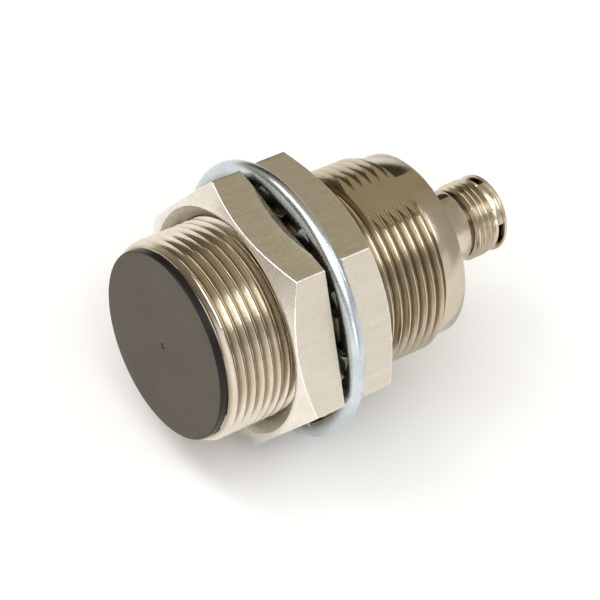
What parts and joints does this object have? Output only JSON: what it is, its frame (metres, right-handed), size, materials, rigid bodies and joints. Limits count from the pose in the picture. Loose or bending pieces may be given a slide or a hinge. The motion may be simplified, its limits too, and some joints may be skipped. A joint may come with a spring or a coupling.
{
  "type": "proximity sensor",
  "caption": "Round inductive proximity sensor with a threaded barrel, hexagon nuts, a toothed lock washer and a round plug connector.",
  "frame": {"origin": "centre of the sensing face", "axes": "+X along the barrel's axis from the sensing face to the plug connector, +Z out of the barrel's milled flat"},
  "size_m": [0.0576, 0.042, 0.042],
  "materials": {
    "nickel_barrel": "satin",
    "nickel_nut": "satin",
    "zinc_washer": "satin",
    "nickel_connector": "satin",
    "cap_plastic": "matte",
    "insert_plastic": "matte",
    "gold_contact": "polished",
    "amber_guide": "gloss",
    "ferrite": "matte",
    "bobbin_plastic": "matte",
    "copper_wire": "satin",
    "carrier_plastic": "matte",
    "shield_foil": "satin",
    "board": "satin",
    "chip_black": "matte",
    "capacitor_case": "matte",
    "chip_ceramic": "matte",
    "led_lens": "gloss",
    "seal_rubber": "matte",
    "resin": "gloss"
  },
  "bodies": {
    "sensor_body": {"barrel": "nickel_barrel", "sensing_cap": "cap_plastic", "ferrite_core": "ferrite", "coil_bobbin": "bobbin_plastic", "coil_winding": "copper_wire", "coil_leads": "copper_wire", "board_carrier": "carrier_plastic", "shield_sleeve": "shield_foil", "circuit_board": "board", "control_ic": "chip_black", "output_transistor": "chip_black", "surge_diode": "chip_black", "smoothing_capacitor": "capacitor_case", "chip_capacitors": "chip_ceramic", "chip_resistors": "chip_black", "indicator_leds": "led_lens", "pin_tails": "gold_contact", "contact_pin_1": "gold_contact", "contact_pin_2": "gold_contact", "contact_pin_3": "gold_contact", "contact_pin_4": "gold_contact", "contact_insert": "insert_plastic", "light_guide": "amber_guide", "connector_shell": "nickel_connector", "rear_o_ring": "seal_rubber", "potting_resin": "resin"},
    "washer": {"lock_washer": "zinc_washer"},
    "front_nut_body": {"front_nut": "nickel_nut"},
    "rear_nut_body": {"rear_nut": "nickel_nut"}
  },
  "joints": [
    {"name": "washer_travel", "type": "slide", "parent": "sensor_body", "child": "washer", "axis": [1, 0, 0], "range_m": [-0.009, 0]},
    {"name": "front_nut_turn", "type": "hinge", "parent": "washer", "child": "front_nut_body", "pos_m": [0, 0, 0], "axis": [1, 0, 0], "range_deg": [-2160, 0]},
    {"name": "rear_nut_travel", "type": "slide", "parent": "sensor_body", "child": "rear_nut_body", "axis": [1, 0, 0], "range_m": [0, 0.012]}
  ],
  "couplings": [
    {"joint": "washer_travel", "follows": "front_nut_turn", "m_per_rad": 0.00023873}
  ]
}
